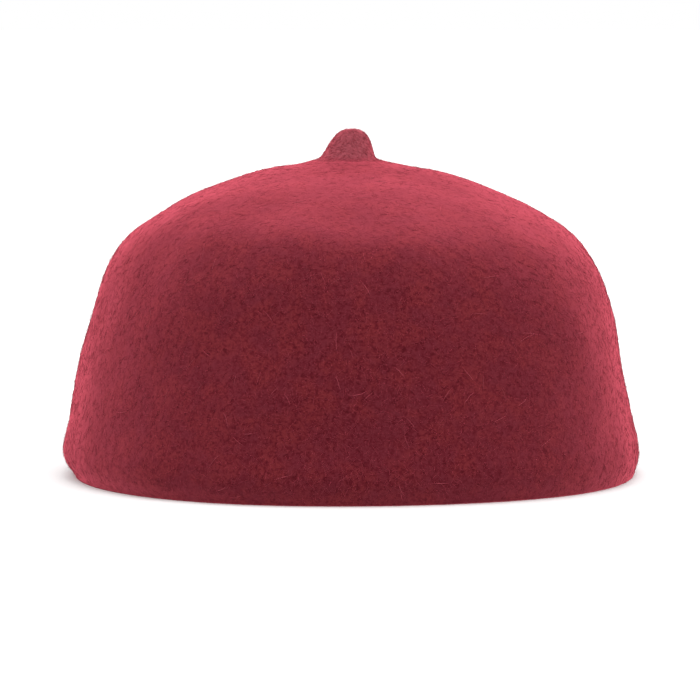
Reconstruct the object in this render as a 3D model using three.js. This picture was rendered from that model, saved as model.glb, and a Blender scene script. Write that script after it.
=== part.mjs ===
// A low felt fez: one wall of thick wool felt, blocked to a tapering crown with soft shoulders and drawn out
// into a small solid nub on top. There is no seam, band, lining or tassel, so the hat is one solid.
// Millimetres, +Z up, origin on the resting surface under the middle of the hat. The wearer faces -Y.
import * as THREE from 'three';
import { ParametricGeometry } from 'three/addons/geometries/ParametricGeometry.js';
import { mergeVertices } from 'three/addons/utils/BufferGeometryUtils.js';

const FELT = 3; // thickness of the felt wall
const FACETS_AROUND = 64;
const RINGS_A_SECTION = 2;
const PLAIN_OVAL = 2; // the exponent of an ellipse

// Sections from the cut rim to the tip of the nub. Each is an oval: halfWidth runs ear to ear, halfDepth runs
// front to back, shift moves its centre towards the wearer's left (+X), and corners is the exponent of the
// oval, where 2 is an ellipse and more is squarer.
const SECTIONS = [
  { at: 'rim', height: 0, halfWidth: 91.3, halfDepth: 94.7, shift: 1.7, corners: 2.15 },
  { at: 'rim bulge', height: 6.5, halfWidth: 93.8, halfDepth: 97.2, shift: 0.6, corners: 2.15 },
  { at: 'low wall', height: 19, halfWidth: 91.8, halfDepth: 94.9, shift: 0, corners: 2.15 },
  { at: 'middle wall', height: 36, halfWidth: 88.6, halfDepth: 91.7, shift: 0.1, corners: 2.12 },
  { at: 'high wall', height: 54, halfWidth: 84.8, halfDepth: 87.6, shift: 0.5, corners: 2.1 },
  { at: 'wall top', height: 68, halfWidth: 79.8, halfDepth: 82.2, shift: 0.6, corners: 2.08 },
  { at: 'shoulder', height: 78.5, halfWidth: 72.1, halfDepth: 74, shift: 0.3, corners: 2.05 },
  { at: 'shoulder top', height: 87, halfWidth: 59.1, halfDepth: 57.8, shift: -0.2, corners: 2 },
  { at: 'crown slope', height: 94, halfWidth: 44.3, halfDepth: 38.8, shift: -0.8, corners: 2 },
  { at: 'crown', height: 99, halfWidth: 28.2, halfDepth: 23.4, shift: -1.1, corners: 2 },
  { at: 'nub surround', height: 101.9, halfWidth: 13, halfDepth: 14.5, shift: -0.7, corners: 2 },
  { at: 'nub foot', height: 103.1, halfWidth: 9.1, halfDepth: 10.8, shift: -0.5, corners: 2 },
  { at: 'nub waist', height: 105.4, halfWidth: 7.7, halfDepth: 8.4, shift: -0.1, corners: 2 },
  { at: 'nub middle', height: 108, halfWidth: 6.4, halfDepth: 6.2, shift: 0.4, corners: 2 },
  { at: 'nub shoulder', height: 110.4, halfWidth: 4.6, halfDepth: 4, shift: 0.7, corners: 2 },
  { at: 'nub cap', height: 111.7, halfWidth: 2.6, halfDepth: 2.1, shift: 0.9, corners: 2 },
  { at: 'nub tip', height: 112.1, halfWidth: 0, halfDepth: 0, shift: 0.9, corners: 2 },
];
const WIDEST = Math.max(...SECTIONS.map((section) => section.halfWidth));

// The hollow runs on under the nub, which is solid.
const CROWN_MIDDLE = { height: 102.8, halfWidth: 0, halfDepth: 0, shift: -0.7, corners: PLAIN_OVAL };
const CROWN_SECTIONS = [...SECTIONS.filter((section) => section.height < CROWN_MIDDLE.height), CROWN_MIDDLE];

// Where the blocked felt is uneven. direction is degrees from +X towards +Y and reach its spread in degrees,
// height and rise are the middle and the spread up the wall, and depth is how far the felt stands in (-) or
// out (+) at the widest section, and in proportion elsewhere.
const DENTS = [
  { at: 'front left crown edge', direction: 228, reach: 20, height: 90, rise: 5.5, depth: 7 },
  { at: 'front left shoulder', direction: 234, reach: 32, height: 76, rise: 20, depth: -1.6 },
  { at: 'front right corner, high', direction: 322, reach: 13, height: 57, rise: 16, depth: 3 },
  { at: 'front right corner, low', direction: 317, reach: 17, height: 24, rise: 20, depth: 3 },
  { at: 'front right rim', direction: 302, reach: 26, height: 0, rise: 16, depth: -2.4 },
  { at: 'front left rim', direction: 250, reach: 22, height: 0, rise: 16, depth: 1 },
  { at: 'back shoulder', direction: 95, reach: 30, height: 76, rise: 16, depth: -1.6 },
];

// A smooth run through sections: at(distance) gives the section at a distance along the profile.
function profileThrough(sections) {
  const distances = [0];
  for (let i = 1; i < sections.length; i++) {
    const rise = sections[i].height - sections[i - 1].height;
    const inset = sections[i].halfWidth - sections[i - 1].halfWidth;
    distances.push(distances[i - 1] + Math.hypot(rise, inset));
  }
  const columns = sections.flatMap((s) => [s.height, s.halfWidth, s.halfDepth, s.shift, s.corners]);
  const interpolant = new THREE.CubicInterpolant(distances, columns, columns.length / sections.length);
  const at = (distance) => {
    const [height, halfWidth, halfDepth, shift, corners] = interpolant.evaluate(distance);
    return { height, halfWidth, halfDepth, shift, corners };
  };
  return { distances, length: distances.at(-1), at };
}

const OUTSIDE = profileThrough(SECTIONS);
const CROWN = profileThrough(CROWN_SECTIONS);

// How far the felt stands in or out in a direction and at a height: the sum of smooth bumps.
function unevenness(direction, height) {
  return DENTS.reduce((sum, dent) => {
    const turn = THREE.MathUtils.euclideanModulo(direction - dent.direction + 180, 360) - 180;
    const across = turn / dent.reach;
    const along = (height - dent.height) / dent.rise;
    return sum + dent.depth * Math.exp(-(across * across + along * along) / 2);
  }, 0);
}

// A point of a section's oval: x and y are the cosine and sine, each to the power 2 / corners.
function outerPoint(profile, distance, angle) {
  const { height, halfWidth, halfDepth, shift, corners } = profile.at(distance);
  const round = (value) => Math.sign(value) * Math.abs(value) ** (2 / corners);
  const swell = 1 + unevenness(THREE.MathUtils.radToDeg(angle), height) / WIDEST;
  return new THREE.Vector3(
    shift + halfWidth * swell * round(Math.cos(angle)),
    halfDepth * swell * round(Math.sin(angle)),
    height,
  );
}

// The inner face: the crown without its nub, moved in along its normal by the thickness of the felt. At the
// rim it moves straight in, so that the cut edge lies flat, and at the middle of the crown straight down.
function innerPoint(distance, angle) {
  const small = 1e-3;
  const point = outerPoint(CROWN, distance, angle);
  if (distance === CROWN.length) return point.setZ(point.z - FELT);
  const upwards = outerPoint(CROWN, distance + small, angle).sub(point);
  const sideways = outerPoint(CROWN, distance, angle + small).sub(point);
  const outwards = sideways.cross(upwards);
  if (distance === 0) outwards.setZ(0);
  return point.addScaledVector(outwards.normalize(), -FELT);
}

// The distances of the rings along a profile, evenly spaced from each section to the next.
function ringDistances(profile) {
  const rings = profile.distances.slice(1).flatMap((end, i) => {
    const start = profile.distances[i];
    const steps = [...Array(RINGS_A_SECTION).keys()];
    return steps.map((step) => THREE.MathUtils.lerp(start, end, step / RINGS_A_SECTION));
  });
  return [...rings, profile.length];
}

// The whole felt as one closed surface: from the middle of the crown's underside, down the inside, across the
// cut rim, and up the outside to the tip of the nub.
function feltGeometry() {
  const inner = ringDistances(CROWN).reverse().map((distance) => (angle) => innerPoint(distance, angle));
  const outer = ringDistances(OUTSIDE).map((distance) => (angle) => outerPoint(OUTSIDE, distance, angle));
  const rings = [...inner, ...outer];
  const place = (around, along, target) => {
    const facet = Math.round(around * FACETS_AROUND) % FACETS_AROUND;
    const ring = rings[Math.round(along * (rings.length - 1))];
    target.copy(ring((facet / FACETS_AROUND) * 2 * Math.PI));
  };
  const geometry = new ParametricGeometry(place, FACETS_AROUND, rings.length - 1);
  geometry.deleteAttribute('normal');
  geometry.deleteAttribute('uv');
  return mergeVertices(geometry);
}

// Puts the middle of the hat's footprint over the origin.
function centred(geometry) {
  geometry.computeBoundingBox();
  const middle = geometry.boundingBox.getCenter(new THREE.Vector3());
  geometry.translate(-middle.x, -middle.y, 0);
  geometry.computeVertexNormals();
  return geometry;
}

const WOOL_FELT = new THREE.MeshStandardMaterial({ color: 0x7a2431, roughness: 0.95, metalness: 0 });

function feltCap() {
  const mesh = new THREE.Mesh(centred(feltGeometry()), WOOL_FELT);
  mesh.name = 'felt_cap';
  return mesh;
}

const fez = new THREE.Group();
fez.add(feltCap());

export default fez;
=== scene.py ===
"""A low felt fez: a shell of thick wool felt with a solid nub, its nap of single fibres, floor and light."""

import math

import bpy
import numpy as np
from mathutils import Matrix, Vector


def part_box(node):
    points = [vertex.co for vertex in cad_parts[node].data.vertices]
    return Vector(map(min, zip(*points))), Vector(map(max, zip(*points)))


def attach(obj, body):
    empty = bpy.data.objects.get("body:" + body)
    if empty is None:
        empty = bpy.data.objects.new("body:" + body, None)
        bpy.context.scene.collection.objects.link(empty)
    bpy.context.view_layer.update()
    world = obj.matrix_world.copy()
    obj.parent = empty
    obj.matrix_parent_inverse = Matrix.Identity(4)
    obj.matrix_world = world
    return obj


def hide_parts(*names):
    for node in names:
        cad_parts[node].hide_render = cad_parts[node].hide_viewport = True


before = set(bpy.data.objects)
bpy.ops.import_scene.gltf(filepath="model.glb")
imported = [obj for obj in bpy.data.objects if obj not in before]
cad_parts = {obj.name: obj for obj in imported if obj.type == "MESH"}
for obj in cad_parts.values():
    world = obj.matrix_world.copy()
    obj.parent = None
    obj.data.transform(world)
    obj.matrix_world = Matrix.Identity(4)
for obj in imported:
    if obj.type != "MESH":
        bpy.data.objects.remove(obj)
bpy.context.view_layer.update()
cap_low, cap_high = (np.array(corner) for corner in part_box("felt_cap"))

MM = 0.001
FELT = 3 * MM
CUT_EDGE = 0.8 * MM  # rounding of the rim's outer and inner corners

# Sections of the felt in millimetres: height, half width, half depth, sideways shift, and squareness, where 2
# is an ellipse.
SECTIONS = np.array([
    (0, 91.3, 94.7, 1.7, 2.15),  # rim
    (6.5, 93.8, 97.2, 0.6, 2.15),  # rim bulge
    (19, 91.8, 94.9, 0, 2.15),  # low wall
    (36, 88.6, 91.7, 0.1, 2.12),  # middle wall
    (54, 84.8, 87.6, 0.5, 2.1),  # high wall
    (68, 79.8, 82.2, 0.6, 2.08),  # wall top
    (78.5, 72.1, 74, 0.3, 2.05),  # shoulder
    (87, 59.1, 57.8, -0.2, 2),  # shoulder top
    (94, 44.3, 38.8, -0.8, 2),  # crown slope
    (99, 28.2, 23.4, -1.1, 2),  # crown
    (101.9, 13, 14.5, -0.7, 2),  # nub surround
    (103.1, 9.1, 10.8, -0.5, 2),  # nub foot
    (105.4, 7.7, 8.4, -0.1, 2),  # nub waist
    (108, 6.4, 6.2, 0.4, 2),  # nub middle
    (110.4, 4.6, 4, 0.7, 2),  # nub shoulder
    (111.7, 2.6, 2.1, 0.9, 2),  # nub cap
    (112.1, 0, 0, 0.9, 2),  # nub tip
])
NUB_SURROUND = 10  # the row where the nub begins
NUB_FOOT = 103.1 * MM
CROWN_EDGE = 74 * MM  # where the nap of the wall meets the nap of the crown
WIDEST = SECTIONS[:, 1].max()
CROWN_MIDDLE = (102.8, 0, 0, -0.7, 2)  # the crown under the nub
CROWN_SECTIONS = np.vstack([SECTIONS[: NUB_SURROUND + 1], CROWN_MIDDLE])

# Where the blocked felt is uneven: direction and reach in degrees, then height, rise and depth in
# millimetres. Out is +.
DENTS = (
    (228, 20, 90, 5.5, 7),  # front left crown edge
    (234, 32, 76, 20, -1.6),  # front left shoulder
    (322, 13, 57, 16, 3),  # front right corner, high
    (317, 17, 24, 20, 3),  # front right corner, low
    (302, 26, 0, 16, -2.4),  # front right rim
    (250, 22, 0, 16, 1),  # front left rim
    (95, 30, 76, 16, -1.6),  # back shoulder
)

COLUMNS = 400  # points around the hat


# ---------------------------------------------------------------- shape

def profile_distances(sections):
    """The distance of each section along the profile: the sum of the straight steps in height and width."""
    steps = np.diff(sections[:, :2], axis=0)
    return np.concatenate([[0], np.cumsum(np.hypot(steps[:, 0], steps[:, 1]))])


def run_through(sections, distances):
    """Sections at distances along the profile: between two rows of the table, the cubic whose slope at each
    row is the mean of the straight slopes on its two sides."""
    known = profile_distances(sections)
    slopes = np.diff(sections, axis=0) / np.diff(known)[:, None]
    tangents = np.concatenate([slopes[:1], (slopes[1:] + slopes[:-1]) / 2, slopes[-1:]])
    below = np.clip(np.searchsorted(known, distances, side="right") - 1, 0, len(known) - 2)
    gap = (known[below + 1] - known[below])[:, None]
    part = (distances - known[below])[:, None] / gap
    return (
        sections[below] * (1 + 2 * part) * (1 - part) ** 2
        + tangents[below] * gap * part * (1 - part) ** 2
        + sections[below + 1] * part**2 * (3 - 2 * part)
        + tangents[below + 1] * gap * part**2 * (part - 1)
    )


def unevenness(direction, height):
    """How far the felt stands in or out: the sum of Gaussian bumps over direction and height."""
    total = 0
    for middle, reach, level, rise, depth in DENTS:
        turn = (direction - middle + 180) % 360 - 180
        total = total + depth * np.exp(-((turn / reach) ** 2 + ((height - level) / rise) ** 2) / 2)
    return total


def oval_rings(sections, distances, angles):
    """Points on the outside, one ring for each distance: the section's half axes times the cosine and the
    sine of the angle, each to the power 2 over the squareness, swollen by the unevenness over the widest
    half width."""
    height, half_width, half_depth, shift, corners = run_through(sections, distances).T[:, :, None]
    power = 2 / corners
    cosine = np.sign(np.cos(angles)) * np.abs(np.cos(angles)) ** power
    sine = np.sign(np.sin(angles)) * np.abs(np.sin(angles)) ** power
    swell = 1 + unevenness(np.degrees(angles), height) / WIDEST
    x = shift + half_width * swell * cosine
    y = half_depth * swell * sine
    z = height + 0 * x
    return np.stack([x, y, z], axis=-1) * MM


def outward(rings):
    """Unit normals of a grid of rings: the step around crossed with the step along, made one long."""
    around = np.roll(rings, -1, axis=1) - np.roll(rings, 1, axis=1)
    along = np.gradient(rings, axis=0)
    normal = np.cross(around, along)
    return normal / np.maximum(np.linalg.norm(normal, axis=-1, keepdims=True), 1e-12)


def ripple(points, size, seed, waves=40):
    """Smooth noise of about unit strength: the sum of cosines of seeded directions, wavelengths near `size`
    and phases, over the square root of half their number."""
    rng = np.random.default_rng(seed)
    heading = rng.normal(size=(waves, 3))
    heading /= np.linalg.norm(heading, axis=1, keepdims=True)
    pitch = 2 * math.pi / (size * rng.uniform(0.7, 1.5, waves))
    phase = rng.uniform(0, 2 * math.pi, waves)
    total = np.zeros(points.shape[:-1])
    for direction, wave, start in zip(heading, pitch, phase):
        total += np.cos(points @ direction * wave + start)
    return total / math.sqrt(waves / 2)


def evenly(start, stop, step):
    """Distances from start towards stop, without stop, about a step apart."""
    return np.linspace(start, stop, max(2, round((stop - start) / step)), endpoint=False)


ANGLES = np.linspace(0, 2 * math.pi, COLUMNS, endpoint=False)


def outer_skin():
    """The outside of the felt, from just above the cut edge to the tip of the nub, lumped and matted: each
    point moves along its normal by broad ripples of blocking and fine ripples of matting."""
    marks = profile_distances(SECTIONS)
    distances = np.concatenate([
        evenly(CUT_EDGE / MM, marks[NUB_SURROUND - 1], 1.15),
        evenly(marks[NUB_SURROUND - 1], marks[NUB_SURROUND], 0.7),
        evenly(marks[NUB_SURROUND], marks[-1], 0.42),
        [marks[-1]],
    ])
    rings = oval_rings(SECTIONS, distances, ANGLES)
    normals = outward(rings)
    normals[-1] = (0, 0, 1)
    clear_of_rim = np.clip(rings[..., 2] / (8 * MM), 0, 1)
    lumps = 0.22 * ripple(rings, 0.028, 3) * clear_of_rim
    matting = 0.020 * ripple(rings, 0.0045, 4) + 0.012 * ripple(rings, 0.0026, 5)
    moved = rings + normals * ((lumps + matting) * MM)[..., None]
    moved[-1] = moved[-1].mean(axis=0)
    return moved


def inner_skin():
    """The inside, from the middle of the crown down to just above the cut edge: the crown without its nub,
    moved in along its normals by the thickness of the felt."""
    marks = profile_distances(CROWN_SECTIONS)
    distances = np.concatenate([evenly(CUT_EDGE / MM, marks[-1], 3.2), [marks[-1]]])
    rings = oval_rings(CROWN_SECTIONS, distances, ANGLES)
    normals = outward(rings)
    normals[-1] = (0, 0, 1)
    matting = 0.05 * ripple(rings, 0.006, 6)
    moved = rings - normals * (FELT + matting * MM)[..., None]
    moved[-1] = moved[-1].mean(axis=0)
    return moved[::-1]


def cut_edge(inner_ring, outer_ring):
    """Rings across the cut rim, from the inner skin to the outer: a quarter circle down to the resting
    surface, flat across, and a quarter circle up."""
    turns = np.radians([22, 45, 68, 90])
    across = outer_ring - inner_ring
    across[:, 2] = 0
    across /= np.linalg.norm(across, axis=1, keepdims=True)

    def corner(ring, side):
        inset = (1 - np.cos(turns))[:, None, None] * across * side
        drop = np.sin(turns)[:, None] * ring[:, 2]
        rounded = ring + inset * ring[:, 2][None, :, None]
        rounded[..., 2] = ring[:, 2] - drop
        return rounded

    down = corner(inner_ring, 1)
    up = corner(outer_ring, -1)[::-1]
    flat = [down[-1] * (1 - part) + up[0] * part for part in (0.33, 0.67)]
    return np.concatenate([down, flat, up])


def grid_mesh(name, rings):
    """A closed mesh from rings of points whose first and last ring is shrunk to a pole with a fan."""
    count, columns = rings.shape[:2]
    points = np.concatenate([rings[:1, 0], rings[1:-1].reshape(-1, 3), rings[-1:, 0]])
    here = np.arange(columns)
    after = (here + 1) % columns
    row = 1 + np.arange(count - 3)[:, None] * columns
    quads = np.stack([row + here, row + after, row + columns + after, row + columns + here], axis=-1)
    top = len(points) - 1
    first = np.stack([np.zeros(columns, int), after + 1, here + 1], axis=-1)
    last = np.stack([top - columns + here, top - columns + after, np.full(columns, top)], axis=-1)
    faces = quads.reshape(-1, 4).tolist() + first.tolist() + last.tolist()
    mesh = bpy.data.meshes.new(name)
    mesh.from_pydata(points.tolist(), [], faces)
    mesh.shade_smooth()
    mesh.update()
    return mesh


def add_piece(name, mesh, material):
    """Puts a mesh in the scene as a piece of the hat, moving with its only body."""
    piece = bpy.data.objects.new(name, mesh)
    bpy.context.scene.collection.objects.link(piece)
    mesh.materials.append(material)
    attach(piece, "root")
    return piece


# ---------------------------------------------------------------- nap

def scatter(rings, count, rng):
    """Random places on a grid of rings, even by area: a cell by its share of the whole, then a place inside
    it. Gives each place's point, outward normal and a unit vector along the surface."""
    normals = outward(rings)
    corner = rings[:-1]
    beside = np.roll(corner, -1, axis=1)
    above = rings[1:]
    area = np.linalg.norm(np.cross(beside - corner, above - corner), axis=-1)
    cell = rng.choice(area.size, count, p=(area / area.sum()).ravel())
    row, column = np.unravel_index(cell, area.shape)
    across, along = rng.random((2, count, 1))
    point = corner[row, column]
    point = point + (beside - corner)[row, column] * across + (above - corner)[row, column] * along
    normal = normals[row, column]
    side = (beside - corner)[row, column]
    side -= normal * (side * normal).sum(axis=1, keepdims=True)
    side /= np.linalg.norm(side, axis=1, keepdims=True)
    return point, normal, side


def fibre_mesh(name, rings, count, seed, length, thickness, lift, loose, shade):
    """Wool fibres on a grid of rings. Each follows a heading on the surface, bends sideways with the square
    of the distance, and rises along a parabola between its ends; a loose one also lifts its far end. It is
    a three-sided tube of two rings, closed by a point at each end. `shade` is the range of its colour."""
    rng = np.random.default_rng(seed)
    point, normal, side = scatter(rings, count, rng)
    turn = rng.uniform(0, 2 * math.pi, (count, 1))
    heading = side * np.cos(turn) + np.cross(normal, side) * np.sin(turn)
    beside = np.cross(normal, heading)
    reach = rng.uniform(*length, (count, 1)) * MM
    bend = rng.normal(0, 0.3, (count, 1)) / reach
    top = rng.uniform(*lift, (count, 1)) * MM
    is_loose = rng.random((count, 1)) < loose
    free_end = np.where(is_loose, rng.uniform(0.25, 1, (count, 1)) * top * 2.4, -0.1 * MM)
    part = np.array([0, 0.34, 0.68, 1])[:, None, None]
    run = part * reach
    rise = -0.06 * MM * (1 - part) + 4 * part * (1 - part) * top + part**2 * free_end
    path = point + heading * run + beside * bend * run**2 + normal * rise
    path[..., 2] = np.maximum(path[..., 2], thickness[1] * MM)
    radius = rng.uniform(*thickness, (count, 1, 1)) * MM / 2
    spin = np.radians([90, 210, 330])[:, None]
    spoke = (beside[:, None] * np.cos(spin) + normal[:, None] * np.sin(spin)) * radius
    low_ring = path[1][:, None] + spoke
    high_ring = path[2][:, None] + spoke
    points = np.concatenate([path[0][:, None], low_ring, high_ring, path[3][:, None]], axis=1)
    pattern = [(0, 1 + (i + 1) % 3, 1 + i) for i in range(3)]
    pattern += [(1 + i, 1 + (i + 1) % 3, 4 + (i + 1) % 3) for i in range(3)]
    pattern += [(1 + i, 4 + (i + 1) % 3, 4 + i) for i in range(3)]
    pattern += [(4 + i, 4 + (i + 1) % 3, 7) for i in range(3)]
    faces = np.array(pattern)[None] + 8 * np.arange(count)[:, None, None]
    mesh = bpy.data.meshes.new(name)
    mesh.from_pydata(points.reshape(-1, 3).tolist(), [], faces.reshape(-1, 3).tolist())
    mesh.shade_smooth()
    tone = mesh.attributes.new("shade", "FLOAT", "POINT")
    tone.data.foreach_set("value", np.repeat(rng.uniform(*shade, count), 8).astype(np.float32))
    mesh.update()
    return mesh


# ---------------------------------------------------------------- materials

class Wire:
    """A shader socket in an expression: +, -, * and ** add Math nodes to its tree."""

    def __init__(self, tree, socket=None):
        self.tree = tree
        self.socket = socket

    def node(self, kind, settings=None, inputs=None, output=0):
        """Adds a node, makes its settings, fills its inputs with values or wires, and gives an output."""
        node = self.tree.nodes.new(kind)
        for name, value in (settings or {}).items():
            setattr(node, name, value)
        for name, value in (inputs or {}).items():
            if isinstance(value, Wire):
                self.tree.links.new(value.socket, node.inputs[name])
            else:
                node.inputs[name].default_value = value
        return Wire(self.tree, node.outputs[output] if node.outputs else None)

    def math(self, operation, first, second):
        return self.node("ShaderNodeMath", {"operation": operation}, {0: first, 1: second})

    def __add__(self, other):
        return self.math("ADD", self, other)

    __radd__ = __add__

    def __sub__(self, other):
        return self.math("SUBTRACT", self, other)

    def __rsub__(self, other):
        return self.math("SUBTRACT", other, self)

    def __mul__(self, other):
        return self.math("MULTIPLY", self, other)

    __rmul__ = __mul__

    def __pow__(self, other):
        return self.math("POWER", self, other)

    def step(self, low, high):
        """0 below low, 1 above high, and a smooth step between."""
        inputs = {"Value": self, "From Min": low, "From Max": high}
        return self.node("ShaderNodeMapRange", {"interpolation_type": "SMOOTHSTEP"}, inputs)

    def mix(self, low, high):
        """The colour low where this is 0 and high where it is 1."""
        return self.node("ShaderNodeMix", {"data_type": "RGBA"}, {0: self, 6: low, 7: high}, output=2)


def new_material(name):
    """An empty material: its tree as a Wire, and the material."""
    material = bpy.data.materials.new(name)
    material.use_nodes = True
    material.node_tree.nodes.clear()
    return material, Wire(material.node_tree)


def finish_material(tree, shader):
    tree.node("ShaderNodeOutputMaterial", inputs={"Surface": shader})


def colour(red, green, blue):
    return (red, green, blue, 1)


WOOL = {
    "pit": colour(0.040, 0.0012, 0.0030),
    "deep": colour(0.068, 0.0025, 0.0070),
    "cool": colour(0.108, 0.0130, 0.0205),
    "warm": colour(0.140, 0.0160, 0.0195),
    "pale": colour(0.290, 0.0680, 0.0860),
}
SHEEN = {
    "Sheen Weight": 1.0,
    "Sheen Roughness": 0.52,
    "Sheen Tint": colour(1, 0.145, 0.21),
}


def noise(tree, place, size, detail=2.0, roughness=0.5, distortion=0.0, kind="FBM"):
    """Noise whose features are about `size` metres across."""
    inputs = {"Vector": place, "Scale": 1 / size, "Detail": detail}
    inputs |= {"Roughness": roughness, "Distortion": distortion}
    return tree.node("ShaderNodeTexNoise", {"noise_dimensions": "3D", "noise_type": kind}, inputs)


def felt_material():
    """Matted wool: cloudy reds, small dark pits between the tufts, and pale curved fibres lying in the
    surface. The
    nub is painted paler: painted light, standing in for the light that its fuzz scatters."""
    material, tree = new_material("matted wool felt")
    place = tree.node("ShaderNodeTexCoord", output=3)
    high = tree.node("ShaderNodeSeparateXYZ", inputs={"Vector": place}, output=2)
    clouds = noise(tree, place, 0.009, detail=3, roughness=0.6)
    tufts = noise(tree, place, 0.0014, detail=2, roughness=0.6, distortion=0.7)
    grains = noise(tree, place, 0.0006, detail=2, roughness=0.6)
    swirls = noise(tree, place, 0.0022, detail=2, roughness=0.5, distortion=2.2, kind="RIDGED_MULTIFRACTAL")
    pits = tufts.step(0.44, 0.28)
    fibres = swirls.step(0.95, 1.5)
    base = clouds.step(0.36, 0.66).mix(WOOL["cool"], WOOL["warm"])
    base = ((tufts * 0.5 + grains * 0.5).step(0.60, 0.38) * 0.9).mix(base, WOOL["deep"])
    base = (pits * 0.55).mix(base, WOOL["pit"])
    base = (fibres * 0.32).mix(base, WOOL["pale"])
    # Painted light: the nub is painted paler, standing in for the light that its fuzz scatters.
    nub_painted_light = high.step(NUB_FOOT - 1 * MM, NUB_FOOT + 1 * MM)
    base = (nub_painted_light * 0.80).mix(base, WOOL["pale"])
    height = tufts * 0.4 + grains * 0.3 + fibres * 0.15 - pits * 0.3
    bump = tree.node("ShaderNodeBump", inputs={"Strength": 0.35, "Distance": 0.0005, "Height": height})
    inputs = {"Base Color": base, "Roughness": 0.95, "Specular IOR Level": 0.05, "Normal": bump, **SHEEN}
    finish_material(tree, tree.node("ShaderNodeBsdfPrincipled", inputs=inputs))
    return material


def fibre_material():
    """Single wool fibres: from deep red to pale by each fibre's own shade."""
    material, tree = new_material("wool fibre")
    shade = tree.node("ShaderNodeAttribute", {"attribute_name": "shade"}, output=2)
    base = shade.mix(WOOL["deep"], WOOL["pale"])
    inputs = {"Base Color": base, "Roughness": 0.8, "Specular IOR Level": 0.1, **SHEEN}
    finish_material(tree, tree.node("ShaderNodeBsdfPrincipled", inputs=inputs))
    return material


def floor_material():
    material, tree = new_material("pale paper")
    inputs = {"Base Color": colour(0.86, 0.86, 0.86), "Roughness": 0.9, "Specular IOR Level": 0.1}
    finish_material(tree, tree.node("ShaderNodeBsdfPrincipled", inputs=inputs))
    return material


# ---------------------------------------------------------------- the hat

def build_hat():
    """The felt body in place of the plain one, and its nap in pieces by region."""
    outer = outer_skin()
    inner = inner_skin()
    rings = np.concatenate([inner, cut_edge(inner[-1], outer[0]), outer])
    middle = (cap_low + cap_high) / 2
    hat_middle = (rings.reshape(-1, 3).min(axis=0) + rings.reshape(-1, 3).max(axis=0)) / 2
    offset = np.array([middle[0] - hat_middle[0], middle[1] - hat_middle[1], cap_low[2]])
    rings = rings + offset
    outer = outer + offset
    felt = felt_material()
    fibre = fibre_material()
    body = add_piece("felt_body", grid_mesh("felt_body", rings), felt)
    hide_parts("felt_cap")

    nub_rows = outer[:, 0, 2] > SECTIONS[NUB_SURROUND, 0] * MM
    crown_rows = (outer[:, 0, 2] > CROWN_EDGE) & ~nub_rows
    wall = outer[~nub_rows & ~crown_rows]
    crown = outer[crown_rows]
    nub = outer[nub_rows][:-2]
    # Name, skin, how many, seed, length, thickness and lift in millimetres, share that is loose, and shade.
    nap = (
        ("wall_nap_a", wall, 15000, 11, (2.0, 5.0), (0.05, 0.09), (0.01, 0.10), 0.2, (0.0, 0.35)),
        ("wall_nap_b", wall, 15000, 12, (1.2, 3.6), (0.05, 0.08), (0.02, 0.16), 0.4, (0.0, 0.35)),
        # the crown's nap is a little paler than the wall's: painted light, lifting the shaded sides of its
        # fibres
        ("crown_nap", crown, 12000, 13, (1.6, 4.4), (0.04, 0.08), (0.01, 0.06), 0.15, (0.05, 0.4)),
        # the nub's nap is pale: painted light, standing in for the light that its fuzz scatters
        ("nub_nap", nub, 2600, 14, (1.0, 2.4), (0.05, 0.08), (0.03, 0.15), 0.5, (0.5, 1.0)),
        ("fuzz", outer[:-4], 16000, 16, (0.8, 2.2), (0.03, 0.05), (0.12, 0.45), 0.8, (0.0, 0.3)),
        ("stray_fibres", outer[:-4], 260, 15, (4.0, 8.0), (0.10, 0.16), (0.1, 0.35), 0.6, (0.6, 1.0)),
    )
    for name, *traits in nap:
        add_piece(name, fibre_mesh(name, *traits), fibre)


# ---------------------------------------------------------------- floor, light and camera

def build_floor():
    """A wide flat sheet that the hat stands on."""
    half = 40.0
    mesh = bpy.data.meshes.new("floor")
    corners = [(-half, -half, 0), (half, -half, 0), (half, half, 0), (-half, half, 0)]
    mesh.from_pydata(corners, [], [(0, 1, 2, 3)])
    mesh.materials.append(floor_material())
    floor = bpy.data.objects.new("floor", mesh)
    floor.visible_diffuse = False
    bpy.context.scene.collection.objects.link(floor)


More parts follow.
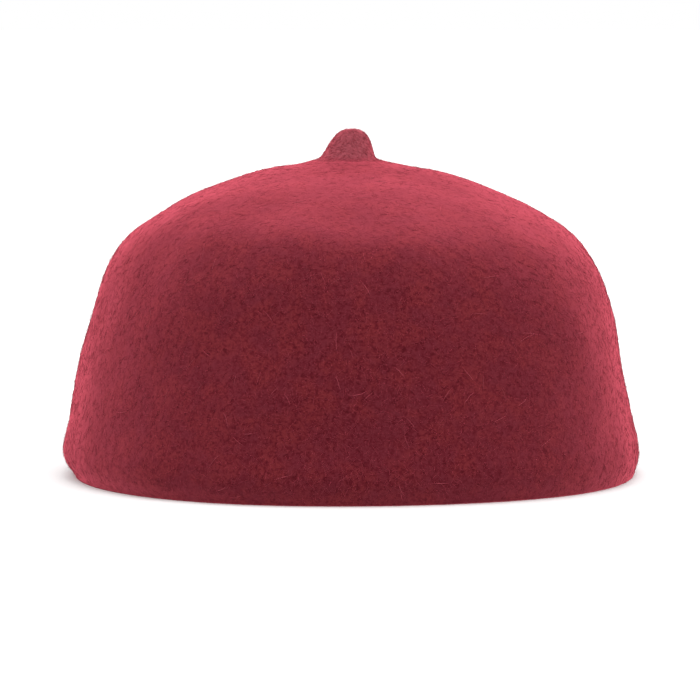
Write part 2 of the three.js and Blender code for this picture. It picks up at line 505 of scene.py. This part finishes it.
# The dome's even glow, and the soft lamps on it: azimuth (90 is behind the hat) and elevation in degrees,
# sharpness, and strength.
DOME = 0.93
LAMPS = (
    (0, 90, 2, 1.3),  # above
    (90, 45, 4, 0.25),  # high behind
    (0, 30, 4, 0.5),  # high right
)


def build_light():
    """Soft studio light: an even dome, and on it each lamp glows by the cosine of the angle from its middle,
    to the power of its sharpness. The camera sees plain white behind the floor."""
    world = bpy.data.worlds.new("soft studio light")
    bpy.context.scene.world = world
    world.use_nodes = True
    world.node_tree.nodes.clear()
    tree = Wire(world.node_tree)
    direction = tree.node("ShaderNodeTexCoord", output=0)
    total = DOME
    for azimuth, elevation, sharpness, strength in LAMPS:
        turn, climb = math.radians(azimuth), math.radians(elevation)
        middle = (math.cos(turn) * math.cos(climb), math.sin(turn) * math.cos(climb), math.sin(climb))
        product = {"operation": "DOT_PRODUCT"}
        cosine = tree.node("ShaderNodeVectorMath", product, {0: direction, 1: middle}, output=1)
        total = total + cosine.math("MAXIMUM", cosine, 0.0) ** sharpness * strength
    glow = tree.node("ShaderNodeBackground", inputs={"Color": colour(1, 1, 1), "Strength": total})
    plain = tree.node("ShaderNodeBackground", inputs={"Color": colour(1, 1, 1), "Strength": 1.0})
    seen = tree.node("ShaderNodeLightPath", output=0)
    both = tree.node("ShaderNodeMixShader", inputs={0: seen, 1: glow, 2: plain})
    tree.node("ShaderNodeOutputWorld", inputs={"Surface": both})


def build_camera():
    """A long lens a little above the rim, from the front, aimed below the middle of the hat."""
    stand = np.array([-0.0006, -1.3, 0.149])
    aim = np.array([-0.0005, 0, 0.040])
    data = bpy.data.cameras.new("camera")
    data.sensor_width = 36
    data.lens = 204.6
    data.clip_end = 200
    camera = bpy.data.objects.new("camera", data)
    bpy.context.scene.collection.objects.link(camera)
    camera.location = stand
    away = aim - stand
    tilt = math.atan2(math.hypot(away[0], away[1]), -away[2])
    camera.rotation_euler = (tilt, 0, -math.atan2(away[0], away[1]))
    bpy.context.scene.camera = camera


build_hat()
build_floor()
build_light()
build_camera()
bpy.context.scene.view_settings.view_transform = "Standard"
